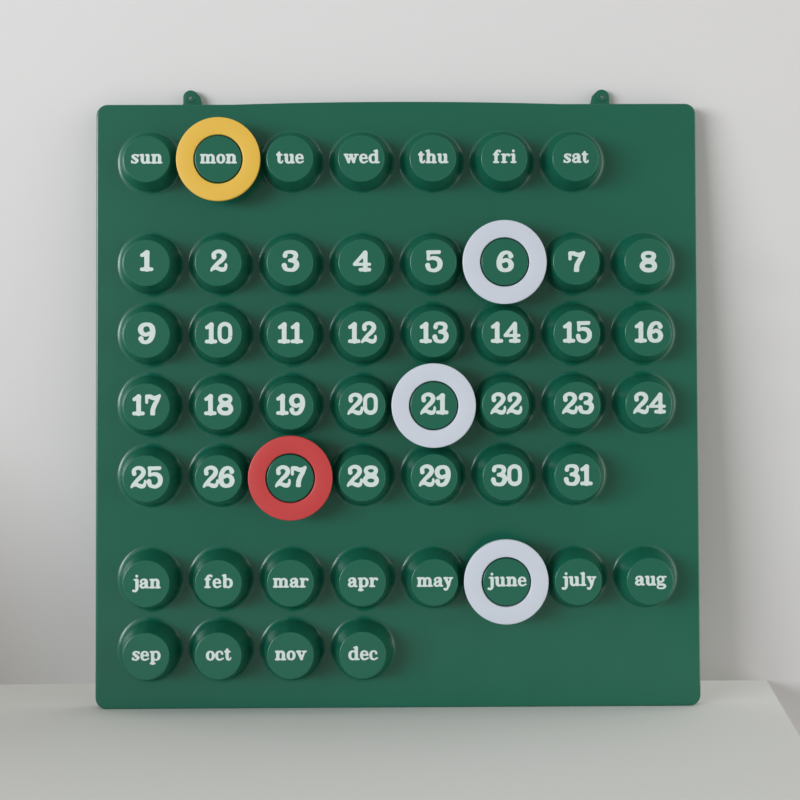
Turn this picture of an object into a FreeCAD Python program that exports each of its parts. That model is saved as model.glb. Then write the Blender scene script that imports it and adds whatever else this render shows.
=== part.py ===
import FreeCAD, Part
import math
import os
from FreeCAD import Vector

# Perpetual wall calendar. One moulded tray, open towards the wall, carries a round knob for
# each weekday, date and month. Loose marker rings are pushed onto the knobs of the day.
# Sizes are in millimetres. X runs to the right, Z up and Y into the wall. The origin lies
# on the wall, midway between the two hanging holes.

# Knobs, moulded hollow with the tray
knob_pitch = 35.0
group_pitch = 50.8
knob_height = 14.5
knob_top_diameter = 22.6
knob_draft_deg = 14.0
knob_wall = 1.8
foot_flare_width = 2.5
foot_flare_height = 1.95

# Knobs in each row from the top: weekdays, then dates, then months
knob_counts = [[7], [8, 8, 8, 7], [8, 4]]

# Tray. The margins run from the outermost knob centres to the edges.
side_margin = 27.5
end_margin = 29.2
tray_depth = 8.0
tray_wall = 2.0
corner_radius = 5.5
least_inner_radius = 0.5
front_edge_radius = 1.0
crown_span = 164.0
crown_rise = 1.3

# Hanging ears on the top edge, flat against the wall
hole_spacing = 207.5
hole_diameter = 1.8
hole_above_edge = 4.35
ear_radius = 3.85
ear_thickness = 2.0
ear_foot_fillet = 1.8
ear_shoulder_out = 4.9
ear_foot_out = 6.0
boss_diameter = 4.8
boss_height = 0.4

# Marker rings: which knob each one sits on, as row and column counted from 0
ring_seats = {
    "yellow_day_ring": (0, 1),
    "white_date_ring": (1, 5),
    "white_date_ring_2": (3, 4),
    "red_date_ring": (4, 2),
    "white_month_ring": (5, 5),
}
ring_thickness = 2.5
ring_hole_over_knob = 1.5
ring_seat_clearance = 0.15
ring_to_next_knob = 2.5
ring_edge_chamfer = 0.4

row_counts = [count for group in knob_counts for count in group]
columns = max(row_counts)
knob_top_radius = knob_top_diameter / 2
draft = math.tan(math.radians(knob_draft_deg))
board_top = -hole_above_edge
cut_past = 1.0


def row_heights():
    """Height of every row of knobs, from the top."""
    heights = []
    z = board_top - end_margin
    for group in knob_counts:
        for place in range(len(group)):
            if heights:
                z -= knob_pitch if place else group_pitch
            heights.append(z)
    return heights


rows = row_heights()
board_bottom = rows[-1] - end_margin
board_half_width = (columns - 1) / 2 * knob_pitch + side_margin


def knob_place(row, column):
    """Offset of one knob's axis in the wall plane."""
    return Vector((column - (columns - 1) / 2) * knob_pitch, 0, rows[row])


def knob_radius(height):
    """Outer radius of the tapered knob at a height above the tray's front."""
    return knob_top_radius + (knob_height - height) * draft


def turned(profile):
    """Solid turned about a knob's axis from points of radius and height above the front."""
    points = [Vector(radius, -tray_depth - height, 0) for radius, height in profile]
    face = Part.Face(Part.makePolygon(points + points[:1]))
    return face.revolve(Vector(0, 0, 0), Vector(0, 1, 0), 360)


def knob():
    """Tapered drum with a flat top and a flared foot, rooted in the tray's front wall."""
    root = -tray_wall / 2
    foot_radius = knob_radius(foot_flare_height) + foot_flare_width
    return turned([
        (0, root),
        (foot_radius, root),
        (foot_radius, 0),
        (knob_radius(foot_flare_height), foot_flare_height),
        (knob_top_radius, knob_height),
        (0, knob_height),
    ])


def knob_hollow():
    """The space inside a knob, open at the back of the tray."""
    slant_wall = knob_wall / math.cos(math.radians(knob_draft_deg))
    roof = knob_height - knob_wall
    mouth = -tray_wall - cut_past
    return turned([
        (0, mouth),
        (knob_radius(mouth) - slant_wall, mouth),
        (knob_radius(roof) - slant_wall, roof),
        (0, roof),
    ])


def line(x0, z0, x1, z1):
    return Part.makeLine(Vector(x0, 0, z0), Vector(x1, 0, z1))


def arc(x, z, radius, start, end):
    """Arc in the wall plane between two angles in degrees, counted from +X towards +Z."""
    points = []
    for angle in (start, (start + end) / 2, end):
        a = math.radians(angle)
        points.append(Vector(x + radius * math.cos(a), 0, z + radius * math.sin(a)))
    return Part.Arc(*points).toShape()


def outline(inset):
    """The tray's outline moved inwards: rounded corners and a gently crowned top edge."""
    side = board_half_width - inset
    top = board_top - inset
    bottom = board_bottom + inset
    r = max(corner_radius - inset, least_inner_radius)
    crown_radius = (crown_span**2 / 4 + crown_rise**2) / (2 * crown_rise)
    crown_z = board_top + crown_rise - crown_radius
    inset_radius = crown_radius - inset
    half_span = math.sqrt(inset_radius**2 - (top - crown_z) ** 2)
    half_angle = math.degrees(math.asin(half_span / inset_radius))
    edges = [
        line(-side, bottom + r, -side, top - r),
        arc(-side + r, top - r, r, 180, 90),
        line(-side + r, top, -half_span, top),
        arc(0, crown_z, inset_radius, 90 + half_angle, 90 - half_angle),
        line(half_span, top, side - r, top),
        arc(side - r, top - r, r, 90, 0),
        line(side, top - r, side, bottom + r),
        arc(side - r, bottom + r, r, 0, -90),
        line(side - r, bottom, -side + r, bottom),
        arc(-side + r, bottom + r, r, -90, -180),
    ]
    return Part.Face(Part.Wire(edges))


def tray_block():
    """The tray's outside as a full block with its front edge rounded."""
    block = outline(0).extrude(Vector(0, -tray_depth, 0))
    front_edges = [
        edge
        for edge in block.Edges
        if all(abs(vertex.Y + tray_depth) < 1e-6 for vertex in edge.Vertexes)
    ]
    return block.makeFillet(min(front_edge_radius, tray_wall), front_edges)


def tray_pocket():
    """The tray's open back, which leaves the front wall and the rim."""
    return outline(tray_wall).extrude(Vector(0, tray_wall - tray_depth, 0))


def left_ear():
    """Left hanging ear: a round tab with a filleted outer foot and a sloping inner shoulder."""
    x = -hole_spacing / 2
    edge = board_top
    root = board_top - tray_wall / 2
    outer = x - ear_radius
    foot = outer - ear_foot_fillet
    tangent = ear_radius * math.sqrt(0.5)
    shoulder_z = 2 * tangent - ear_shoulder_out
    profile = [
        line(foot, root, foot, edge),
        arc(foot, edge + ear_foot_fillet, ear_foot_fillet, -90, 0),
        line(outer, edge + ear_foot_fillet, outer, 0),
        arc(x, 0, ear_radius, 180, 45),
        line(x + tangent, tangent, x + ear_shoulder_out, shoulder_z),
        line(x + ear_shoulder_out, shoulder_z, x + ear_foot_out, edge),
        line(x + ear_foot_out, edge, x + ear_foot_out, root),
        line(x + ear_foot_out, root, foot, root),
    ]
    tab = Part.Face(Part.Wire(profile)).extrude(Vector(0, -ear_thickness, 0))
    boss = round_bar(boss_diameter, ear_thickness + boss_height)
    return tab.fuse(boss)


def round_bar(diameter, length):
    """Round bar on the left hole's axis, standing out of the wall plane."""
    return Part.makeCylinder(
        diameter / 2, length, Vector(-hole_spacing / 2, 0, 0), Vector(0, -1, 0)
    )


def both_sides(left):
    """A shape of the left ear and its mirror image on the right."""
    return [left, left.mirror(Vector(0, 0, 0), Vector(1, 0, 0))]


def calendar_board():
    """The one moulding: tray, knobs and ears, hollowed from the back."""
    places = [
        knob_place(row, column)
        for row, count in enumerate(row_counts)
        for column in range(count)
    ]
    knobs = [knob().translated(place) for place in places]
    hollows = [knob_hollow().translated(place) for place in places]
    holes = both_sides(round_bar(hole_diameter, ear_thickness + boss_height))
    board = tray_block().fuse(knobs + both_sides(left_ear()))
    return board.cut([tray_pocket()] + hollows + holes).removeSplitter()


def marker_ring(row, column):
    """Flat ring that slips over a knob's top and stops where the taper fills its hole."""
    hole_radius = knob_top_radius + ring_hole_over_knob / 2
    seat = knob_height - (hole_radius - ring_seat_clearance - knob_top_radius) / draft
    outer_radius = knob_pitch - knob_radius(seat) - ring_to_next_knob
    front = seat + ring_thickness
    chamfer = ring_edge_chamfer
    ring = turned([
        (hole_radius + chamfer, seat),
        (outer_radius - chamfer, seat),
        (outer_radius, seat + chamfer),
        (outer_radius, front - chamfer),
        (outer_radius - chamfer, front),
        (hole_radius + chamfer, front),
        (hole_radius, front - chamfer),
        (hole_radius, seat + chamfer),
    ])
    return ring.translated(knob_place(row, column))


def save(name, shape):
    """Write one node, as its single solid, to its STEP file."""
    shape.Solids[0].exportStep("parts/" + name + ".step")


os.makedirs("parts", exist_ok=True)
save("calendar_board", calendar_board())
for ring_name, seat_place in ring_seats.items():
    save(ring_name, marker_ring(*seat_place))
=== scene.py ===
import math

import bmesh
import bpy
import numpy as np
from bpy.props import FloatProperty, FloatVectorProperty, IntProperty, PointerProperty
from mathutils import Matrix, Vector
from mathutils.geometry import delaunay_2d_cdt


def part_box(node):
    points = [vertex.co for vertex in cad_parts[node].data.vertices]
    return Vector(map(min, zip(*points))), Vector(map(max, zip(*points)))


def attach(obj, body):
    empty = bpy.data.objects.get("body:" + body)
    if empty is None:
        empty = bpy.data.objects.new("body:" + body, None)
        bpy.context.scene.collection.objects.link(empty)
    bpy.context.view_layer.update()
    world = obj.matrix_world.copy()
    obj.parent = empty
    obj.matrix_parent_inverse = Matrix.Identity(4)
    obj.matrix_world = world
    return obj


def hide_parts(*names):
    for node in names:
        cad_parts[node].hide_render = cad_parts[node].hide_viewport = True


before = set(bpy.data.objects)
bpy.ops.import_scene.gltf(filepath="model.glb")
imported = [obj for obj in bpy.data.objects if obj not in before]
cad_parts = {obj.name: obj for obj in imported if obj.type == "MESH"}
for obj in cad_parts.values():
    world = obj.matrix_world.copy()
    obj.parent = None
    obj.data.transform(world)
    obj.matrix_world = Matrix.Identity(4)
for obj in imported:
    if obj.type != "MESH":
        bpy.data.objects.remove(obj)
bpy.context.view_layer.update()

bl_info = {
    "name": "Perpetual Wall Calendar",
    "version": (1, 0, 0),
    "blender": (4, 5, 0),
    "location": "View3D > Sidebar > Calendar",
    "description": "Dresses a moulded perpetual calendar with knobs, printed lettering and marker rings",
    "category": "Add Mesh",
}

MM = 0.001
# The lettering is drawn in tenths of a millimetre
TENTH = 0.1 * MM
# A loop of points this far past a rounding keeps the flat beside it flat
HOLD = 0.25 * MM

# The moulding's own places, read from the frame
BOARD_LOW, BOARD_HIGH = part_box("calendar_board")
KNOB_TOP_Y = BOARD_LOW.y
FLOOR_Z = BOARD_LOW.z
HALF_WIDTH = BOARD_HIGH.x

# What the knobs say, row by row from the top, with the height of a row's baseline over the
# knobs' centres at its left and its right end, in tenths of a millimetre
LETTERING = {
    "weekday_lettering": [("sun mon tue wed thu fri sat", -22, -24)],
    "date_lettering": [
        ("1 2 3 4 5 6 7 8", -40, -52),
        ("9 10 11 12 13 14 15 16", -43, -46),
        ("17 18 19 20 21 22 23 24", -42, -43),
        ("25 26 27 28 29 30 31", -44, -41),
    ],
    "month_lettering": [
        ("jan feb mar apr may june july aug", -22, -20),
        ("sep oct nov dec", -20, -23),
    ],
}
KNOB_COUNTS = [[len(words.split()) for words, _, _ in rows] for rows in LETTERING.values()]
RINGS = {
    "yellow_day_ring": "yellow",
    "white_date_ring": "white",
    "white_date_ring_2": "white",
    "red_date_ring": "red",
    "white_month_ring": "white",
}

# Steps of a curved stroke between two of its points, the room round a word on its grid, and
# the lowest and highest places that a letter reaches, in tenths of a millimetre
STROKE_STEPS = 5
WORD_MARGIN = 4
LETTER_LOW, LETTER_HIGH = -24, 112

# Printed letters in tenths of a millimetre: the width, then strokes parted by semicolons. A
# stroke runs through points of x, y and half width. Two points make a straight stroke, more a
# curve, and a curve that ends where it starts is closed.
GLYPHS = {
    "0": (79, "40 95 10.5,63 84 11,68 52 11,63 20 11,40 9 11,16 20 11,11 52 11,16 84 11,40 95 10.5"),
    "1": (68, "35 90 13,35 10 13;36 90 12.5,11 78 9.5;10 9.5 9.5,58 9.5 9.5"),
    "2": (85, "21 70 12.5,20 86 10.5,40 97.5 9.5,62 92 11.5,71 76 12.5,60 57 12,38 38 10.5,18 18 9,8 5 6.5;"
              "15 14 8,34 16 9.5,54 9 11,71 10 10.5,78.5 24 8,78.5 34 6.5"),
    "3": (87, "18 78 12.5,22 91 9.5,43 95.5 9,64 90 11.5,70.5 76 12,59 58 10.5,41 54 9.5;"
              "50 54 9.5,70 46 12.5,74 29 13.5,62 11 11.5,41 7 9,21 13 11,14 29 13.5"),
    "4": (92, "62 91 11.5,62 9 11.2;61 92 11,10 37 8.5;10 35.5 8,83 35.5 8;38 9.5 9.5,82 9.5 9.5"),
    "5": (87, "19 94 9.5,70 95 9;12 99 5,74 100 5;18 94 9.2,17 62 8;"
              "18 62 7,40 67 10,62 62 12,74 45 13.5,71 22 12.5,54 8 10.5,37 6.5 9,20 14 11,14.5 31 13"),
    "6": (86, "70 78 13.5,64 91 10,46 95 9.7,27 85 12,15 60 13.6,14 32 13.8,23 14 12,43 7.5 9.5,"
              "64 15 12,72 33 13.7,64 51 12,46 58 10,30 52 10"),
    "7": (85, "9.5 92 8.5,9.5 64 8.5;11 92 9.5,28 90.5 11.5,46 84 11,62 87 10,77 96 7.5;"
              "76 92 8,65 72 11,52 52 12.5,43 30 13,41 14 13.2;33 5.5 5.5,49 5.5 5.5"),
    "8": (87, "45 94.5 9.3,66 89 10.5,72 77 11,62 62 12,45 57 12,28 62 12,18 77 11,24 89 10.5,45 94.5 9.3;"
              "45 51 12,66 46 12.5,75 30 12.7,66 14 12,45 9.2 11.2,24 14 12,13 30 12.7,23 46 12.5,45 51 12"),
    "9": (86, "16 23.5 13.5,22 10.5 10,40 6.5 9.7,59 16.5 12,71 41.5 13.6,72 69.5 13.8,63 87.5 12,"
              "43 94 9.5,22 86.5 12,14 68.5 13.7,22 50.5 12,40 43.5 10,56 49.5 10"),
    "a": (49, "9 33 6.5,12 40 5,21 43.5 4.8,32 40 7.5,35 30 8;35 32 8,35 12 8,39 5 5.5,45.5 5 4.5;"
              "34 27 4.5,19 24 5.2,8.5 14 7.5,15 4.5 5.2,26 6 5,35 14 5"),
    "b": (55, "4.5 60.5 4.5,15 60.5 4.5;15 60 8.5,15 8 8.5;17 35 4.5,30 43.5 5,43 37 7,46.5 23.5 8,"
              "43 10 7,31 3.5 4.8,17 10 5"),
    "c": (44, "34.5 33 6.5,32 40 5,22 43.5 4.6,10.5 37 6.5,8 23.5 7.8,11.5 9 6.5,24 3.5 4.8,39 10 4.6"),
    "d": (57, "29 60.5 4.5,40 60.5 4.5;40 60 8.5,40 8 8.5;41 4.5 4.5,52.5 4.5 4.5;"
              "38 35 4.5,25 43.5 5,12 37 7,8.5 23.5 8,12 10 7,24 3.5 4.8,38 10 5"),
    "e": (45, "13 25 4.4,36 25 4.4;36.5 26 6.5,33 38 5.8,22 43.5 4.6,10.5 37 6.5,8 23.5 7.8,"
              "11.5 9 6.5,24 3.5 4.8,39.5 10 4.6"),
    "f": (40, "16 48 8.5,16 8 8.5;16 46 8.5,20 58 6.5,30 62 4.8,35 58 6.5;4.5 42.5 4.5,29 42.5 4.5;"
              "4.5 4.5 4.5,28 4.5 4.5"),
    "g": (51, "20 43.5 4.6,31 38 6,33.5 30 6.5,31 22 6,20 17 4.6,10 22 6,7 30 6.5,10 38 6,20 43.5 4.6;"
              "31 40 4,38 43 4,45.5 42 5;12 19 4.5,8 11 4.8,16 5 5.5,33 4 6.5,42 -3.5 6.5,36 -12 5,"
              "20 -14 4.5,7 -10 5,6 -2 4.5,14 4 4.5"),
    "h": (57, "4.5 60.5 4.5,14 60.5 4.5;15 60 8.5,15 8 8.5;16 33 5,26 41.5 5.8,37 41 6.5,42 32 8.5,"
              "42 8 8.5;4.5 4.5 4.5,25 4.5 4.5;33 4.5 4.5,52.5 4.5 4.5"),
    "i": (31, "15 60 7.3,15 59.5 7.3;4.5 42.5 4.5,16 42.5 4.5;16 39 8.5,16 8 8.5;4.5 4.5 4.5,26.5 4.5 4.5"),
    "j": (35, "24 60 7.3,24 59.5 7.3;12 42.5 4.5,24 42.5 4.5;25 39 8.5,25 8 8.5,24 -4 7.5,18 -13 5.5,"
              "8.5 -11 7"),
    "l": (31, "4.5 60.5 4.5,15 60.5 4.5;15.5 60 8.5,15.5 8 8.5;4.5 4.5 4.5,26.5 4.5 4.5"),
    "m": (80, "4.5 42.5 4.5,14 42.5 4.5;13.5 39 8,13.5 8 8;14 33 4.5,24 41.5 5.5,34 41 6,38.5 32 8,"
              "38.5 8 8;39 33 4.5,49 41.5 5.5,59 41 6,64.5 32 8,64.5 8 8;4.5 4.5 4.5,23 4.5 4.5;"
              "31 4.5 4.5,48 4.5 4.5;56 4.5 4.5,75.5 4.5 4.5"),
    "n": (57, "4.5 42.5 4.5,14 42.5 4.5;15 39 8.5,15 8 8.5;16 33 5,26 41.5 5.8,37 41 6.5,42 32 8.5,"
              "42 8 8.5;4.5 4.5 4.5,25 4.5 4.5;33 4.5 4.5,52.5 4.5 4.5"),
    "o": (45, "22.5 43.5 4.6,33.5 37 6.8,37 23.5 8,33.5 10 6.8,22.5 3.5 4.6,11.5 10 6.8,8 23.5 8,"
              "11.5 37 6.8,22.5 43.5 4.6"),
    "p": (55, "4.5 42.5 4.5,14 42.5 4.5;15 39 8.5,15 -12 8.5;5 -13.5 4.5,26 -13.5 4.5;17 35 4.5,"
              "30 43.5 5,43 37 7,46.5 23.5 8,43 10 7,31 3.5 4.8,17 10 5"),
    "r": (46, "4.5 42.5 4.5,14 42.5 4.5;15 39 8.5,15 8 8.5;4.5 4.5 4.5,27 4.5 4.5;16 30 5,25 40 5.5,"
              "34 43 4.8,39 38.5 7"),
    "s": (41, "34.5 43 3.8,35 34 3.6;34 38 4.6,20 43.5 4.6,9 35 6.8,20 24.5 7.8,31.5 14 7.2,20 3.5 4.6,"
              "6 9.5 4.6;5 4.5 3.8,4.5 14 3.6"),
    "t": (36, "15 54 5,15 42 8;15 42 8.2,15 14 8.2,20 4.5 5.5,28 5 4.8,32.5 13 3.8;4.5 42.5 4.5,28 42.5 4.5;"
              "15 52 5.5,7 44 4.5"),
    "u": (57, "4.5 42.5 4.5,14 42.5 4.5;15 40 8.5,15 15 8.5,20 5.5 6.5,30 4.5 5.3,41 13 4.8;"
              "32 42.5 4.5,41 42.5 4.5;42 39 8.5,42 8 8.5;42 4.5 4.5,52.5 4.5 4.5"),
    "v": (55, "13 40 8,28 7 7.5;28 7 6,42 40 5;4.5 42.5 4.5,24 42.5 4.5;34 42.5 4.5,50.5 42.5 4.5"),
    "w": (76, "12 40 8,25 7 7.5;25 7 5.5,37 38 5;37 38 7.5,50 7 7.5;50 7 5.5,62 40 5;"
              "4.5 42.5 4.5,22 42.5 4.5;31 42.5 4.5,43 42.5 4.5;54 42.5 4.5,71.5 42.5 4.5"),
    "y": (49, "12 40 8,26 8 7.5;38 40 5,28 14 6,20 -8 5.8,13 -14.5 5,7 -11 6.5;4.5 42.5 4.5,21 42.5 4.5;"
              "30 42.5 4.5,44.5 42.5 4.5"),
}


def linear(hex_colour):
    """Linear RGBA of an sRGB colour written as #RRGGBB."""
    channels = [int(hex_colour[i:i + 2], 16) / 255 for i in (1, 3, 5)]
    return [c / 12.92 if c <= 0.04045 else ((c + 0.055) / 1.055) ** 2.4 for c in channels] + [1.0]


def length(name, description, millimetres):
    """A length that the user can change, in metres."""
    return FloatProperty(name=name, description=description, default=millimetres * MM,
                         unit="LENGTH", precision=5)


def level(name, description, value):
    """A plain number that the user can change."""
    return FloatProperty(name=name, description=description, default=value, min=0)


def colour(name, description, hex_colour):
    """A colour that the user can change."""
    return FloatVectorProperty(name=name, description=description, size=4, min=0, max=1,
                               default=linear(hex_colour), subtype="COLOR")


class MouldingSizes(bpy.types.PropertyGroup):
    """Sizes of the board's moulding."""

    knob_pitch: length("Knob pitch", "Distance between neighbouring knobs", 35)
    group_pitch: length("Group pitch", "Distance between rows where a new group starts", 50.8)
    knob_height: length("Knob height", "Height of a knob above the panel", 14.5)
    knob_top_radius: length("Knob top radius", "Radius of a knob's top at its sharp corner", 11.3)
    knob_draft: FloatProperty(name="Knob draft", description="Slope of a knob's wall",
                              default=math.radians(14), subtype="ANGLE")
    knob_wall: length("Knob wall", "Thickness of a knob's wall and roof", 1.8)
    knob_edge: length("Knob edge", "Rounding round a knob's top", 0.4)
    foot_fillet: length("Foot fillet", "Radius where a knob's wall runs into the panel", 2.5)
    tray_depth: length("Tray depth", "Depth of the board from the wall to the panel", 8)
    tray_wall: length("Tray wall", "Thickness of the panel and the rim", 2)
    corner_radius: length("Corner radius", "Radius of the board's corners", 5.5)
    front_edge: length("Front edge", "Rounding between the panel and the rim", 1)
    back_edge: length("Back edge", "Rounding of the edges at the wall and of the ears", 0.3)
    hollow_edge: length("Hollow edge", "Eased edge where a knob's hollow opens at the back", 0.4)
    crown_span: length("Crown span", "Width of the raised arc in the top edge", 164)
    crown_rise: length("Crown rise", "Height of the raised arc in the top edge", 1.3)
    end_margin: length("End margin", "From the first and last rows to the edges", 29.2)
    hole_spacing: length("Hole spacing", "Distance between the hanging holes", 207.5)
    hole_radius: length("Hole radius", "Radius of a hanging hole", 0.9)
    ear_radius: length("Ear radius", "Radius of a hanging ear", 3.85)
    ear_thickness: length("Ear thickness", "Thickness of a hanging ear", 2)
    ear_foot_fillet: length("Ear foot fillet", "Radius at the outer foot of an ear", 1.8)
    ear_shoulder_out: length("Ear shoulder", "From the hole to the shoulder's lower corner", 4.9)
    ear_foot_out: length("Ear foot", "From the hole to the inner foot of an ear", 6)
    boss_radius: length("Boss radius", "Radius of the raised ring round a hole", 2.4)
    boss_height: length("Boss height", "Height of the raised ring round a hole", 0.4)
    boss_edge: length("Boss edge", "Eased edges of the raised ring round a hole", 0.15)
    around: IntProperty(name="Steps round", description="Steps round each knob", default=60, min=16)


class RingSizes(bpy.types.PropertyGroup):
    """Sizes of the marker rings that the frame doesn't give."""

    hole_radius: length("Hole radius", "Radius of a marker ring's hole", 12.05)
    edge: length("Edge", "Rounding of a marker ring's edges", 0.55)
    around: IntProperty(name="Steps round", description="Steps round each ring", default=120, min=16)


class Finishes(bpy.types.PropertyGroup):
    """Colours of the plastics and the print."""

    board: colour("Board", "Green of the moulded board", "#115D48")
    ink: colour("Ink", "Off-white of the printed lettering", "#C9D6D2")
    yellow: colour("Yellow ring", "Yellow of the day ring", "#DCB243")
    white: colour("White rings", "Cool white of the date and month rings", "#C2C9D3")
    red: colour("Red ring", "Red of the date ring", "#BB3939")


class PrintSettings(bpy.types.PropertyGroup):
    """How the lettering is drawn and laid on the knobs."""

    ink_height: length("Ink height", "Height of the ink above a knob's top", 0.05)
    ink_root: length("Ink root", "Depth that the ink sits in the plastic", 0.02)
    step: level("Step", "Step of the outlines in tenths of a millimetre", 1.5)
    blend: level("Blend", "Rounding where strokes meet, in tenths of a millimetre", 1.6)
    thin: level("Thin", "Width that each side of a stroke loses, in tenths of a millimetre", 0.6)
    shift: level("Shift", "How far words sit to the right, in tenths of a millimetre", 2.5)
    squeeze: level("Squeeze", "How narrow numbers of two digits are drawn", 0.92)


class StudioSettings(bpy.types.PropertyGroup):
    """Camera, lamps and surroundings."""

    camera_place: FloatVectorProperty(
        name="Camera place", description="Where the camera stands", subtype="TRANSLATION",
        unit="LENGTH", default=(-4.83 * MM, -702.34 * MM, -121.2 * MM))
    camera_turn: FloatVectorProperty(
        name="Camera turn", description="How the camera is turned", subtype="EULER",
        default=[math.radians(a) for a in (91.385, 0.2, -0.506)])
    lens: level("Lens", "Focal length in millimetres for a sensor 36 mm wide", 62.7)
    drop: level("Drop", "How far the frame sits below the lens's axis, in frame widths", 0.12)
    reach: length("Reach", "How far the shelf and the wall run to the sides and up", 1600)
    wall_gap: length("Wall gap", "From the board's foot to the wall that it leans against", 43)
    top_gap: length("Top gap", "From the board's top edge to the wall", 1.5)
    shelf_depth: length("Shelf depth", "How far the shelf reaches in front of the board", 320)
    shelf_end: length("Shelf end", "From the board's middle to the shelf's right end", 196.5)
    shelf_skew: length("Shelf skew", "How much less far right the shelf's front corner lies", 46)
    floor: colour("Floor", "Colour of the shelf", "#E0E2E0")
    backdrop: colour("Backdrop", "Colour of the wall", "#D7D6D5")
    flag_out: length("Flag out", "From the board's middle to the card on the left", 330)
    flag_depth: length("Flag depth", "How far the card reaches in front of the board", 170)
    flag_low: length("Flag low", "Height of the card at its front", 20)
    flag_high: length("Flag high", "Height of the card at the wall", 230)
    flag: colour("Flag", "Colour of the card that shades the wall's lower left", "#8A7A66")
    room: colour("Room", "Colour of the light from the room", "#F4F1ED")
    from_sides: level("From the sides", "Strength of the room's light from both sides", 2.856)
    from_front: level("From the front", "Strength of the room's light from straight ahead", 0.408)
    above: level("Above", "Share of that light that comes from high up", 0.2)
    below: level("Below", "Share of that light that comes from under the shelf", 0.15)
    left: level("Left", "Share of that light that comes from the left", 0.85)
    right: level("Right", "Share of that light that comes from the right", 1.3)
    window: colour("Window", "Colour of the light from the window", "#F2F5FC")
    window_place: FloatVectorProperty(
        name="Window place", description="Where the window's middle lies", subtype="TRANSLATION",
        unit="LENGTH", default=(-3.6, -3.4, 0.4))
    window_width: length("Window width", "Width of the window", 3200)
    window_height: length("Window height", "Height of the window", 1400)
    window_power: level("Window power", "Power of the window in watts", 188.0)


def node(tree, kind, settings=None, links=None, **fields):
    """Adds a shader node with its own fields, its sockets' values, and the outputs that feed them."""
    made = tree.nodes.new(kind)
    for name, value in fields.items():
        setattr(made, name, value)
    for name, value in (settings or {}).items():
        made.inputs[name].default_value = value
    for name, source in (links or {}).items():
        tree.links.new(source, made.inputs[name])
    return made


def new_material(name):
    """An empty material and its node tree."""
    material = bpy.data.materials.new(name)
    material.use_nodes = True
    material.node_tree.nodes.clear()
    return material, material.node_tree


def noise(tree, size_mm, detail):
    """An uneven pattern whose patches are about as large as the size given."""
    place = node(tree, "ShaderNodeTexCoord").outputs["Object"]
    settings = {"Scale": 1 / (size_mm * MM), "Detail": detail}
    return node(tree, "ShaderNodeTexNoise", settings, {"Vector": place}).outputs["Fac"]


def uneven(tree, base, low, high, pattern):
    """A colour that runs from a darker to a lighter shade of itself with a pattern."""
    shades = [[channel * share for channel in base[:3]] + [1] for share in (low, high)]
    settings = {"Color1": shades[0], "Color2": shades[1]}
    return node(tree, "ShaderNodeMixRGB", settings, {"Fac": pattern}).outputs["Color"]


def moulded_plastic(name, base, roughness, ripple_mm, grain_mm, shade=0.05, ior=1.53):
    """Injection-moulded plastic: a satin gloss with a slow ripple and a fine grain from the tool."""
    material, tree = new_material(name)
    ripple = noise(tree, ripple_mm, 2.0)
    grain = noise(tree, grain_mm, 3.0)
    dull = node(tree, "ShaderNodeMapRange", {"To Min": roughness - 0.03, "To Max": roughness + 0.05},
                {"Value": grain})
    slow = node(tree, "ShaderNodeBump", {"Strength": 0.25, "Distance": 0.02 * MM}, {"Height": ripple})
    fine = node(tree, "ShaderNodeBump", {"Strength": 0.2, "Distance": 0.01 * MM},
                {"Height": grain, "Normal": slow.outputs["Normal"]})
    plastic = node(tree, "ShaderNodeBsdfPrincipled", {"IOR": ior},
                   {"Base Color": uneven(tree, base, 1 - shade, 1 + shade, ripple),
                    "Roughness": dull.outputs["Result"], "Normal": fine.outputs["Normal"]})
    node(tree, "ShaderNodeOutputMaterial", links={"Surface": plastic.outputs["BSDF"]})
    return material


def board_plastic(finishes):
    """Polystyrene from a polished tool: deep green, glossy enough to show soft edges of windows."""
    return moulded_plastic("moulded_green_polystyrene", finishes.board, 0.24, 18, 0.5)


def ring_plastic(name, base):
    """Polypropylene from a finely blasted tool: plain and waxy, with soft highlights only."""
    return moulded_plastic("moulded_" + name + "_polypropylene", base, 0.42, 9, 0.4, 0.02, 1.49)


def printed_ink(finishes):
    """Pad-printed ink: matt off-white, laid on a little unevenly."""
    material, tree = new_material("pad_printed_white_ink")
    ink = node(tree, "ShaderNodeBsdfPrincipled", {"Roughness": 0.5, "IOR": 1.5},
               {"Base Color": uneven(tree, finishes.ink, 0.94, 1.04, noise(tree, 1.5, 3.0))})
    node(tree, "ShaderNodeOutputMaterial", links={"Surface": ink.outputs["BSDF"]})
    return material


def matt_paint(name, base, one_sided=False):
    """Emulsion paint, rolled on: matt, with a faint uneven sheen; one-sided it is clear from behind."""
    material, tree = new_material(name)
    bump = node(tree, "ShaderNodeBump", {"Strength": 0.1, "Distance": 0.1 * MM},
                {"Height": noise(tree, 3, 2.0)})
    paint = node(tree, "ShaderNodeBsdfPrincipled", {"Base Color": base, "Roughness": 0.7},
                 {"Normal": bump.outputs["Normal"]}).outputs["BSDF"]
    if one_sided:
        behind = node(tree, "ShaderNodeNewGeometry").outputs["Backfacing"]
        clear = node(tree, "ShaderNodeBsdfTransparent").outputs["BSDF"]
        mix = node(tree, "ShaderNodeMixShader", links={0: behind, 1: paint, 2: clear})
        paint = mix.outputs["Shader"]
    node(tree, "ShaderNodeOutputMaterial", links={"Surface": paint})
    return material


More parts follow.
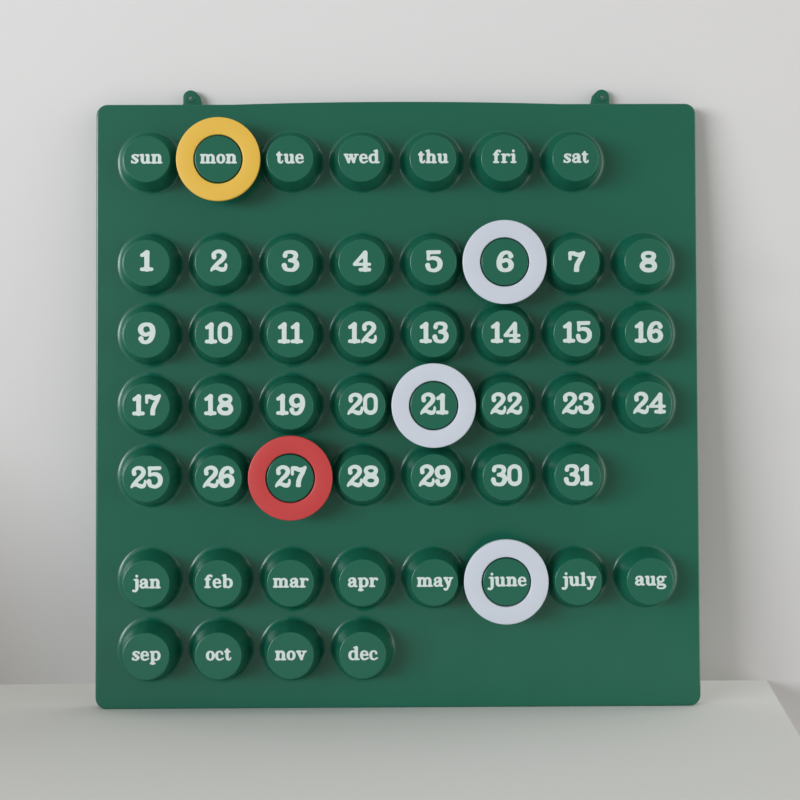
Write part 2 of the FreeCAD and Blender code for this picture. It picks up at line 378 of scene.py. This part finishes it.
class Skin:
    """Collects points and faces of one closed mesh."""

    def __init__(self):
        """Starts an empty mesh."""
        self.mesh = bmesh.new()

    def loop(self, points):
        """Adds points (x, y, z) and returns their vertices in order."""
        return [self.mesh.verts.new(point) for point in points]

    def bridge(self, first, second):
        """Joins two loops of as many points with a band of four-sided faces."""
        for i in range(len(first)):
            j = (i + 1) % len(first)
            self.mesh.faces.new((first[i], first[j], second[j], second[i]))

    def cap(self, loop):
        """Closes a flat loop with one face."""
        self.mesh.faces.new(loop)

    def turn(self, centre, profile, steps):
        """Bands turned about a knob's axis from (radius, y) points; returns the first and last loops."""
        loops = []
        for radius, y in profile:
            loops.append(self.loop([
                (centre.x + radius * math.cos(a), y, centre.z + radius * math.sin(a))
                for a in (2 * math.pi * i / steps for i in range(steps))
            ]))
        for first, second in zip(loops, loops[1:]):
            self.bridge(first, second)
        return loops[0], loops[-1]

    def fill(self, outer, holes=()):
        """Fills a flat outline in the wall plane, leaving its holes open."""
        corners = list(outer)
        rims = [range(len(outer))]
        for hole in holes:
            rims.append(range(len(corners), len(corners) + len(hole)))
            corners += hole
        flat = [Vector((v.co.x, v.co.z)) / MM for v in corners]
        edges = [(rim[i], rim[(i + 1) % len(rim)]) for rim in rims for i in range(len(rim))]
        _, _, triangles, origins, _, _ = delaunay_2d_cdt(flat, edges, [list(rims[0])], 1, 1e-5)
        outlines = [[flat[i] for i in rim] for rim in rims[1:]]
        for triangle in triangles:
            ids = [origins[i][0] for i in triangle]
            middle = (flat[ids[0]] + flat[ids[1]] + flat[ids[2]]) / 3
            if not any(inside(middle, outline) for outline in outlines):
                self.mesh.faces.new([corners[i] for i in ids])

    def finish(self, name, sharp=math.radians(35)):
        """Makes the object, smooth but for its sharp edges."""
        bmesh.ops.recalc_face_normals(self.mesh, faces=self.mesh.faces)
        data = bpy.data.meshes.new(name)
        self.mesh.to_mesh(data)
        self.mesh.free()
        data.shade_smooth()
        data.set_sharp_from_angle(angle=sharp)
        made = bpy.data.objects.new(name, data)
        bpy.context.scene.collection.objects.link(made)
        return made


def inside(point, outline):
    """Whether a point in the wall plane lies inside an outline."""
    within = False
    for a, b in zip(outline, outline[1:] + outline[:1]):
        if (a.y > point.y) != (b.y > point.y):
            if point.x < a.x + (point.y - a.y) / (b.y - a.y) * (b.x - a.x):
                within = not within
    return within


def arc(x, z, radius, start, end, steps):
    """Points on an arc in the wall plane, from one angle in degrees to another."""
    angles = [math.radians(start + (end - start) * i / steps) for i in range(steps + 1)]
    return [Vector((x + radius * math.cos(a), z + radius * math.sin(a))) for a in angles]


def inward(outline):
    """For each point of a counter-clockwise outline, the move that insets both its sides by 1."""
    moves = []
    for before, here, after in zip(outline[-1:] + outline[:-1], outline, outline[1:] + outline[:1]):
        a = (here - before).normalized()
        b = (after - here).normalized()
        halfway = Vector((-a.y - b.y, a.x + b.x)).normalized()
        moves.append(halfway / max(halfway.dot(Vector((-a.y, a.x))), 0.5))
    return moves


def inset(outline, distance):
    """An outline moved inwards."""
    return [point + move * distance for point, move in zip(outline, inward(outline))]


def row_heights(sizes):
    """Height of every row of knobs, from the top."""
    heights = []
    z = BOARD_LOW.z + sizes.end_margin
    for group in reversed(KNOB_COUNTS):
        for place in range(len(group)):
            if heights:
                z += sizes.knob_pitch if place else sizes.group_pitch
            heights.append(z)
    return heights[::-1]


def knob_places(sizes):
    """Centre of every knob in the wall plane, row by row from the top left."""
    counts = [count for group in KNOB_COUNTS for count in group]
    first = -(max(counts) - 1) / 2 * sizes.knob_pitch
    return [
        Vector((first + column * sizes.knob_pitch, 0, z))
        for z, count in zip(row_heights(sizes), counts)
        for column in range(count)
    ]


def rounded(radius, height, edge, start, end, steps):
    """Points of a rounded edge as (radius, height), about its own centre."""
    return [(p.x, p.y) for p in arc(radius, height, edge, start, end, steps)]


def knob_radius(sizes, height):
    """Radius of the tapered wall at a height above the panel."""
    return sizes.knob_top_radius + (sizes.knob_height - height) * math.tan(sizes.knob_draft)


def knob_profile(sizes):
    """A knob's outside from the panel to its top as (radius, height)."""
    draft = sizes.knob_draft
    fillet = sizes.foot_fillet
    meets = fillet * (1 - math.sin(draft))
    foot = knob_radius(sizes, meets) + fillet * math.cos(draft)
    edge = sizes.knob_edge
    edge_height = sizes.knob_height - edge
    edge_centre = knob_radius(sizes, edge_height) - edge / math.cos(draft)
    degrees = math.degrees(draft)
    low = meets + HOLD
    high = edge_height + edge * math.sin(draft) - HOLD
    return (
        [(foot + HOLD, 0)]
        + rounded(foot, fillet, fillet, 270, 180 + degrees, 8)
        + [(knob_radius(sizes, low), low), (knob_radius(sizes, high), high)]
        + rounded(edge_centre, edge_height, edge, degrees, 90, 4)
        + [(edge_centre - HOLD, sizes.knob_height)]
    )


def hollow_profile(sizes):
    """The inside of a knob from the back of the panel to its roof as (radius, height)."""
    slant = sizes.knob_wall / math.cos(sizes.knob_draft)
    mouth = -sizes.tray_wall
    roof = sizes.knob_height - sizes.knob_wall
    lip = sizes.hollow_edge
    wall = [(knob_radius(sizes, height) - slant, height) for height in (mouth + lip, roof)]
    edge = wall[0][0]
    eased = [(edge + lip, mouth), (edge + lip * 0.3, mouth + lip * 0.3)]
    return [(edge + lip + HOLD, mouth)] + eased + wall


def board_outline(sizes):
    """The tray's outline, counter-clockwise from the bottom left, and where each ear's feet stand."""
    side, bottom = HALF_WIDTH, BOARD_LOW.z
    top = row_heights(sizes)[0] + sizes.end_margin
    r = sizes.corner_radius
    crown_radius = (sizes.crown_span**2 / 4 + sizes.crown_rise**2) / (2 * sizes.crown_rise)
    half_angle = math.degrees(math.asin(sizes.crown_span / 2 / crown_radius))
    crown_z = top + sizes.crown_rise - crown_radius
    outer_foot = sizes.hole_spacing / 2 + sizes.ear_radius + sizes.ear_foot_fillet
    inner_foot = sizes.hole_spacing / 2 - sizes.ear_foot_out
    points = arc(-side + r, bottom + r, r, 180, 270, 8) + arc(side - r, bottom + r, r, 270, 360, 8)
    points += arc(side - r, top - r, r, 0, 90, 8)
    right = len(points)
    points += [Vector((outer_foot, top)), Vector((inner_foot, top))]
    points += arc(0, crown_z, crown_radius, 90 - half_angle, 90 + half_angle, 24)
    left = len(points)
    points += [Vector((-inner_foot, top)), Vector((-outer_foot, top))]
    points += arc(-side + r, top - r, r, 90, 180, 8)
    return points, right, left


def ear_outline(sizes):
    """The right ear from its outer foot to its inner foot, without the feet themselves."""
    x = sizes.hole_spacing / 2
    r = sizes.ear_radius
    fillet = sizes.ear_foot_fillet
    edge = row_heights(sizes)[0] + sizes.end_margin
    tangent = r * math.sqrt(0.5)
    points = arc(x + r + fillet, edge + fillet, fillet, 270, 180, 5)[1:]
    points += arc(x, 0, r, 0, 135, 12)
    points.append(Vector((x - sizes.ear_shoulder_out, 2 * tangent - sizes.ear_shoulder_out)))
    return points


def at_depth(points, y):
    """Points of the wall plane moved to a depth."""
    return [(p.x, y, p.y) for p in points]


def edge_steps(radius, steps):
    """How far a rounded edge has turned in and back, step by step, as (inset, depth)."""
    turns = [math.radians(90 * i / steps) for i in range(steps + 1)]
    return [(radius * (1 - math.sin(a)), radius * (1 - math.cos(a))) for a in turns]


def build_board(sizes):
    """The one moulding: tray, rim, ears and hollow knobs."""
    skin = Skin()
    outline, right, left = board_outline(sizes)
    right_ear = ear_outline(sizes)
    left_ear = [Vector((-p.x, p.y)) for p in reversed(right_ear)]
    silhouette = outline[:right + 1] + right_ear + outline[right + 1:left + 1] + left_ear
    silhouette += outline[left + 1:]
    right_span = range(right + 1, right + 1 + len(right_ear))
    left_start = left + 1 + len(right_ear)
    left_span = range(left_start, left_start + len(left_ear))
    ear_points = {*right_span, *left_span}

    rounding = edge_steps(sizes.back_edge, 3)
    back = skin.loop(at_depth(inset(silhouette, rounding[0][0]), -rounding[0][1]))
    last = back
    for step, depth in rounding[1:]:
        loop = skin.loop(at_depth(inset(silhouette, step), -depth))
        skin.bridge(last, loop)
        last = loop
    top = silhouette[right].y
    for step, depth in reversed(rounding):
        points = [
            point + move * (min(step, 0.4 * (point.y - top)) if i in ear_points else 0)
            for i, (point, move) in enumerate(zip(silhouette, inward(silhouette)))
        ]
        loop = skin.loop(at_depth(points, depth - sizes.ear_thickness))
        skin.bridge(last, loop)
        last = loop
    bores = []
    for span, sign in ((right_span, 1), (left_span, -1)):
        face = [last[span[0] - 1]] + [last[i] for i in span] + [last[span[-1] + 1]]
        bores.append(fill_ear(skin, sizes, face, Vector((sign * sizes.hole_spacing / 2, 0, 0))))

    last = [v for i, v in enumerate(last) if i not in ear_points]
    front = -sizes.tray_depth
    edge = sizes.front_edge
    turns = [(0, edge + HOLD)] + edge_steps(edge, 5)[::-1] + [(edge + HOLD, 0)]
    for step, depth in turns:
        loop = skin.loop(at_depth(inset(outline, step), front + depth))
        skin.bridge(last, loop)
        last = loop
    knobs = knob_places(sizes)
    feet = []
    mouths = []
    for place in knobs:
        foot, top = skin.turn(place, [(r, front - h) for r, h in knob_profile(sizes)], sizes.around)
        skin.cap(top)
        mouth, roof = skin.turn(place, [(r, front - h) for r, h in hollow_profile(sizes)], sizes.around)
        skin.cap(roof)
        feet.append(foot)
        mouths.append(mouth)
    skin.fill(last, feet)
    pocket = inset(outline, sizes.tray_wall)
    floor = skin.loop(at_depth(pocket, front + sizes.tray_wall))
    skin.fill(floor, mouths)
    pocket_rim = skin.loop(at_depth(pocket, 0))
    skin.bridge(floor, pocket_rim)
    skin.fill(back, [pocket_rim] + bores)
    return skin.finish("board_moulding")


def fill_ear(skin, sizes, face, hole):
    """An ear's front with the raised ring round its hole; returns the hole's rim at the back."""
    front = -sizes.ear_thickness
    top = front - sizes.boss_height
    edge = sizes.boss_edge
    profile = [(sizes.boss_radius, front), (sizes.boss_radius, top + edge)]
    profile += [(sizes.boss_radius - edge, top), (sizes.hole_radius + edge, top)]
    profile += [(sizes.hole_radius, top + edge), (sizes.hole_radius, 0)]
    foot, bore = skin.turn(hole, profile, 32)
    skin.fill(face, [foot])
    return bore


def build_ring(node_name, sizes):
    """A flat marker ring with softened edges."""
    low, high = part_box(node_name)
    centre = (low + high) / 2
    outer = (high.x - low.x) / 2
    inner = sizes.hole_radius
    edge = sizes.edge
    skin = Skin()
    front, back = low.y + edge, high.y - edge
    profile = rounded(outer - edge, front, edge, 270, 360, 4)
    profile += [(outer, front + HOLD), (outer, back - HOLD)]
    profile += rounded(outer - edge, back, edge, 0, 90, 4)
    profile += rounded(inner + edge, back, edge, 90, 180, 4)
    profile += rounded(inner + edge, front, edge, 180, 270, 4)
    first, last = skin.turn(centre, profile, sizes.around)
    skin.bridge(last, first)
    return skin.finish(node_name + "_moulding", math.radians(60))


def stroke_path(text):
    """Points (x, y, half width) along one stroke, curved through the points that it names."""
    path = np.array([[float(number) for number in point.split()] for point in text.split(",")])
    if len(path) == 2:
        return path
    closed = np.allclose(path[0], path[-1])
    before = path[-2] if closed else 2 * path[0] - path[1]
    after = path[1] if closed else 2 * path[-1] - path[-2]
    knots = np.vstack([before, path, after])
    t = np.linspace(0, 1, STROKE_STEPS, endpoint=False)[:, None]
    spans = [
        b + t * (c - a) / 2 + t**2 * (a - 2.5 * b + 2 * c - d / 2) + t**3 * (1.5 * (b - c) + (d - a) / 2)
        for a, b, c, d in zip(knots, knots[1:], knots[2:], knots[3:])
    ]
    return np.vstack(spans + [path[-1:]])


def stroke_distance(x, y, path):
    """Distance in the plane to a stroke's edge, below 0 inside it."""
    nearest = np.full(x.shape, np.inf)
    for (ax, ay, ar), (bx, by, br) in zip(path, path[1:]):
        dx, dy = bx - ax, by - ay
        along = np.clip(((x - ax) * dx + (y - ay) * dy) / max(dx * dx + dy * dy, 1e-9), 0, 1)
        gap = np.hypot(x - ax - along * dx, y - ay - along * dy) - ar - along * (br - ar)
        nearest = np.minimum(nearest, gap)
    return nearest


def word_width(word):
    """Width of a word before any squeeze, in tenths of a millimetre."""
    return sum(GLYPHS[letter][0] for letter in word)


def word_field(word, prints):
    """Grid of signed distances to a word's strokes, with the grid's x and y values."""
    xs = np.arange(-WORD_MARGIN, word_width(word) + WORD_MARGIN, prints.step)
    ys = np.arange(LETTER_LOW, LETTER_HIGH, prints.step)
    x, y = np.meshgrid(xs, ys)
    total = np.zeros(x.shape)
    start = 0
    for letter in word:
        advance, strokes = GLYPHS[letter]
        for stroke in strokes.split(";"):
            path = stroke_path(stroke) + [start, 0, 0]
            total += np.exp(-stroke_distance(x, y, path) / prints.blend)
        start += advance
    return xs, ys, prints.thin - prints.blend * np.log(total)


def contours(xs, ys, field):
    """Closed outlines where a grid of values crosses 0, as lists of (x, y)."""
    crossings = {}
    links = {}

    def crossing(j, i, across):
        key = (j, i, across)
        if key not in crossings:
            other = field[j, i + 1] if across else field[j + 1, i]
            share = field[j, i] / (field[j, i] - other)
            share = min(max(share, 0.08), 0.92)
            crossings[key] = (
                (xs[i] + share * (xs[1] - xs[0]), ys[j]) if across
                else (xs[i], ys[j] + share * (ys[1] - ys[0]))
            )
        return key

    wet = field < 0
    mixed = wet[:-1, :-1].astype(int) + wet[1:, :-1] + wet[:-1, 1:] + wet[1:, 1:]
    for j, i in zip(*np.nonzero((mixed > 0) & (mixed < 4))):
        corners = [wet[j, i], wet[j, i + 1], wet[j + 1, i + 1], wet[j + 1, i]]
        sides = [(j, i, True), (j, i + 1, False), (j + 1, i, True), (j, i, False)]
        starts = [k for k in range(4) if corners[k] and not corners[(k + 1) % 4]]
        for k in starts:
            end = (k - 1) % 4
            while corners[end]:
                end = (end - 1) % 4
            links[crossing(*sides[end])] = crossing(*sides[k])
    loops = []
    while links:
        first, here = links.popitem()
        loop = [crossings[first]]
        while here != first:
            loop.append(crossings[here])
            here = links.pop(here)
        loops.append(loop)
    return loops


def add_word(skin, loops, wet, corner, prints):
    """Lays a word's outlines on a knob as one thin raised layer of ink."""
    flat = [Vector(point) for loop in loops for point in loop]
    ends = np.cumsum([len(loop) for loop in loops])
    edges = [
        (i, i + 1 if i + 1 < end else end - len(loop))
        for loop, end in zip(loops, ends)
        for i in range(end - len(loop), end)
    ]
    front, root = (
        skin.loop([(corner.x + p.x * TENTH, y, corner.z + p.y * TENTH) for p in flat])
        for y in (KNOB_TOP_Y - prints.ink_height, KNOB_TOP_Y + prints.ink_root)
    )
    places, _, triangles, origins, _, _ = delaunay_2d_cdt(flat, edges, [], 0, 1e-4)
    for triangle in triangles:
        middle = sum((places[i] for i in triangle), Vector((0, 0))) / 3
        if wet(middle.x, middle.y):
            ids = [origins[i][0] for i in triangle]
            skin.mesh.faces.new([front[i] for i in ids])
            skin.mesh.faces.new([root[i] for i in reversed(ids)])
    for i, j in edges:
        skin.mesh.faces.new((front[i], front[j], root[j], root[i]))


def even_odd(loops):
    """Test of whether a point lies within outlines, counted by the lines that it sees to one side."""
    starts = np.vstack([np.array(loop) for loop in loops])
    ends = np.vstack([np.roll(np.array(loop), -1, axis=0) for loop in loops])
    rise = ends[:, 1] - starts[:, 1]
    slope = (ends[:, 0] - starts[:, 0]) / np.where(rise == 0, 1, rise)

    def within(x, y):
        crossed = (starts[:, 1] > y) != (ends[:, 1] > y)
        return np.count_nonzero(crossed & (x < starts[:, 0] + (y - starts[:, 1]) * slope)) % 2 == 1

    return within


def build_lettering(name, rows, places, prints):
    """The ink of one group of labels as thin solids on the knob tops."""
    skin = Skin()
    for words, left, right in rows:
        words = words.split()
        for word, up in zip(words, np.linspace(left, right, len(words))):
            squeeze = prints.squeeze if word.isdigit() and len(word) == 2 else 1.0
            xs, ys, field = word_field(word, prints)
            loops = contours(xs * squeeze, ys, field)
            place = next(places)
            start = prints.shift - word_width(word) * squeeze / 2
            corner = Vector((place.x + start * TENTH, 0, place.z + up * TENTH))
            add_word(skin, loops, even_odd(loops), corner, prints)
    return skin.finish(name)


class CALENDAR_OT_board(bpy.types.Operator):
    """Build the moulded board with its knobs and ears"""

    bl_idname = "calendar.board"
    bl_label = "Board"

    def execute(self, context):
        board = build_board(context.scene.calendar_sizes)
        board.data.materials.append(board_plastic(context.scene.calendar_finishes))
        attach(board, "board")
        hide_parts("calendar_board")
        return {"FINISHED"}


class CALENDAR_OT_rings(bpy.types.Operator):
    """Build the marker rings on their knobs"""

    bl_idname = "calendar.rings"
    bl_label = "Marker Rings"

    def execute(self, context):
        finishes = context.scene.calendar_finishes
        shades = dict.fromkeys(RINGS.values())
        plastics = {shade: ring_plastic(shade, getattr(finishes, shade)) for shade in shades}
        for node_name, shade in RINGS.items():
            ring = build_ring(node_name, context.scene.calendar_rings)
            ring.data.materials.append(plastics[shade])
            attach(ring, node_name)
            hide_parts(node_name)
        return {"FINISHED"}


class CALENDAR_OT_lettering(bpy.types.Operator):
    """Print the weekdays, dates and months on the knobs"""

    bl_idname = "calendar.lettering"
    bl_label = "Lettering"

    def execute(self, context):
        places = iter(knob_places(context.scene.calendar_sizes))
        ink = printed_ink(context.scene.calendar_finishes)
        for name, rows in LETTERING.items():
            lettering = build_lettering(name, rows, places, context.scene.calendar_print)
            lettering.data.materials.append(ink)
            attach(lettering, "board")
        return {"FINISHED"}


class CALENDAR_OT_studio(bpy.types.Operator):
    """Set up the camera, the shelf, the wall and the light"""

    bl_idname = "calendar.studio"
    bl_label = "Studio"

    def execute(self, context):
        studio = context.scene.calendar_studio
        make_camera(context, studio)
        make_backdrop(studio)
        make_room(context, studio)
        make_window(context, studio)
        context.scene.view_settings.view_transform = "Standard"
        return {"FINISHED"}


def make_camera(context, studio):
    """The camera of the picture."""
    data = bpy.data.cameras.new("camera")
    data.sensor_width = 36
    data.lens = studio.lens
    data.shift_y = -studio.drop
    camera = bpy.data.objects.new("camera", data)
    camera.location = studio.camera_place
    camera.rotation_euler = studio.camera_turn
    context.scene.collection.objects.link(camera)
    context.scene.camera = camera


def flat_sheet(name, corners, material):
    """A flat four-cornered sheet for the surroundings."""
    data = bpy.data.meshes.new(name)
    data.from_pydata(corners, [], [range(4)])
    data.materials.append(material)
    sheet = bpy.data.objects.new(name, data)
    bpy.context.scene.collection.objects.link(sheet)
    return sheet


def make_backdrop(studio):
    """The shelf, the wall that the board leans against, and a card that keeps light off its left."""
    reach, back, front, end = studio.reach, studio.wall_gap, -studio.shelf_depth, studio.shelf_end
    flat_sheet("floor", [(-reach, front, FLOOR_Z), (end - studio.shelf_skew, front, FLOOR_Z),
                         (end, back, FLOOR_Z), (-reach, back, FLOOR_Z)],
               matt_paint("painted_shelf", studio.floor))
    # The wall runs on below the shelf. It shows from its front only, and it throws no light or shade.
    slope = (back - studio.top_gap) / (BOARD_HIGH.z - FLOOR_Z)
    low, high = back + slope * reach, back - slope * reach
    wall = flat_sheet("backdrop", [(-reach, low, FLOOR_Z - reach), (reach, low, FLOOR_Z - reach),
                                   (reach, high, FLOOR_Z + reach), (-reach, high, FLOOR_Z + reach)],
                      matt_paint("painted_wall", studio.backdrop, one_sided=True))
    wall.visible_diffuse = False
    wall.visible_glossy = False
    wall.visible_shadow = False
    wall.visible_transmission = False
    x, edge = -studio.flag_out, -studio.flag_depth
    low, high = FLOOR_Z + studio.flag_low, FLOOR_Z + studio.flag_high
    flag = flat_sheet("flag", [(x, back, FLOOR_Z), (x, edge, FLOOR_Z), (x, edge, low), (x, back, high)],
                      matt_paint("brown_card", studio.flag))
    flag.visible_camera = False
    flag.visible_glossy = False


def make_room(context, studio):
    """The room's soft light, which changes with its direction, and a plain pale background."""
    world = bpy.data.worlds.new("room")
    world.use_nodes = True
    tree = world.node_tree
    tree.nodes.clear()
    way = node(tree, "ShaderNodeTexCoord").outputs["Generated"]
    axes = node(tree, "ShaderNodeSeparateXYZ", links={"Vector": way}).outputs
    ahead = node(tree, "ShaderNodeMath", links={0: axes["Y"]}, operation="ABSOLUTE").outputs[0]
    strength = node(tree, "ShaderNodeMapRange",
                    {"To Min": studio.from_sides, "To Max": studio.from_front},
                    {"Value": ahead}, interpolation_type="SMOOTHSTEP").outputs[0]
    # Shares of it along an axis of the direction: from where to where, and the share at both ends
    for axis, start, end, low, high in (("Z", 0.0, 0.9, 1.0, studio.above),
                                        ("Z", -0.8, 0.0, studio.below, 1.0),
                                        ("X", -1.0, 1.0, studio.left, studio.right)):
        share = node(tree, "ShaderNodeMapRange",
                     {"From Min": start, "From Max": end, "To Min": low, "To Max": high},
                     {"Value": axes[axis]}).outputs[0]
        strength = node(tree, "ShaderNodeMath", links={0: strength, 1: share},
                        operation="MULTIPLY").outputs[0]
    light = node(tree, "ShaderNodeBackground", {"Color": studio.room}, {"Strength": strength})
    seen = node(tree, "ShaderNodeBackground", {"Color": studio.backdrop, "Strength": 1.0})
    ray = node(tree, "ShaderNodeLightPath").outputs["Is Camera Ray"]
    mix = node(tree, "ShaderNodeMixShader",
               links={0: ray, 1: light.outputs["Background"], 2: seen.outputs["Background"]})
    node(tree, "ShaderNodeOutputWorld", links={"Surface": mix.outputs["Shader"]})
    context.scene.world = world


def make_window(context, studio):
    """A wide window in front, well to the left, that the camera doesn't see."""
    data = bpy.data.lights.new("window", "AREA")
    data.shape = "RECTANGLE"
    data.size = studio.window_width
    data.size_y = studio.window_height
    data.energy = studio.window_power
    data.color = studio.window[:3]
    lamp = bpy.data.objects.new("window", data)
    lamp.location = studio.window_place
    middle = Vector((0, 0, (BOARD_LOW.z + BOARD_HIGH.z) / 2))
    lamp.rotation_euler = (middle - lamp.location).to_track_quat("-Z", "Y").to_euler()
    lamp.visible_camera = False
    context.scene.collection.objects.link(lamp)


class CALENDAR_PT_panel(bpy.types.Panel):
    """Lists the calendar's pieces and its studio"""

    bl_label = "Calendar"
    bl_idname = "CALENDAR_PT_panel"
    bl_space_type = "VIEW_3D"
    bl_region_type = "UI"
    bl_category = "Calendar"

    def draw(self, context):
        """One button for each operator."""
        for operator in OPERATORS:
            self.layout.operator(operator.bl_idname)


GROUPS = {
    "calendar_sizes": MouldingSizes,
    "calendar_rings": RingSizes,
    "calendar_finishes": Finishes,
    "calendar_print": PrintSettings,
    "calendar_studio": StudioSettings,
}
OPERATORS = [CALENDAR_OT_studio, CALENDAR_OT_board, CALENDAR_OT_rings, CALENDAR_OT_lettering]


def register():
    """Add the settings, the operators and the panel to Blender."""
    for group in GROUPS.values():
        bpy.utils.register_class(group)
    for name, group in GROUPS.items():
        setattr(bpy.types.Scene, name, PointerProperty(type=group))
    for operator in OPERATORS:
        bpy.utils.register_class(operator)
    bpy.utils.register_class(CALENDAR_PT_panel)


def unregister():
    """Take them out again."""
    bpy.utils.unregister_class(CALENDAR_PT_panel)
    for operator in reversed(OPERATORS):
        bpy.utils.unregister_class(operator)
    for name in GROUPS:
        delattr(bpy.types.Scene, name)
    for group in reversed(list(GROUPS.values())):
        bpy.utils.unregister_class(group)


def main():
    """Dress the calendar."""
    register()
    bpy.ops.calendar.studio()
    bpy.ops.calendar.board()
    bpy.ops.calendar.rings()
    bpy.ops.calendar.lettering()


if __name__ == "__main__":
    main()
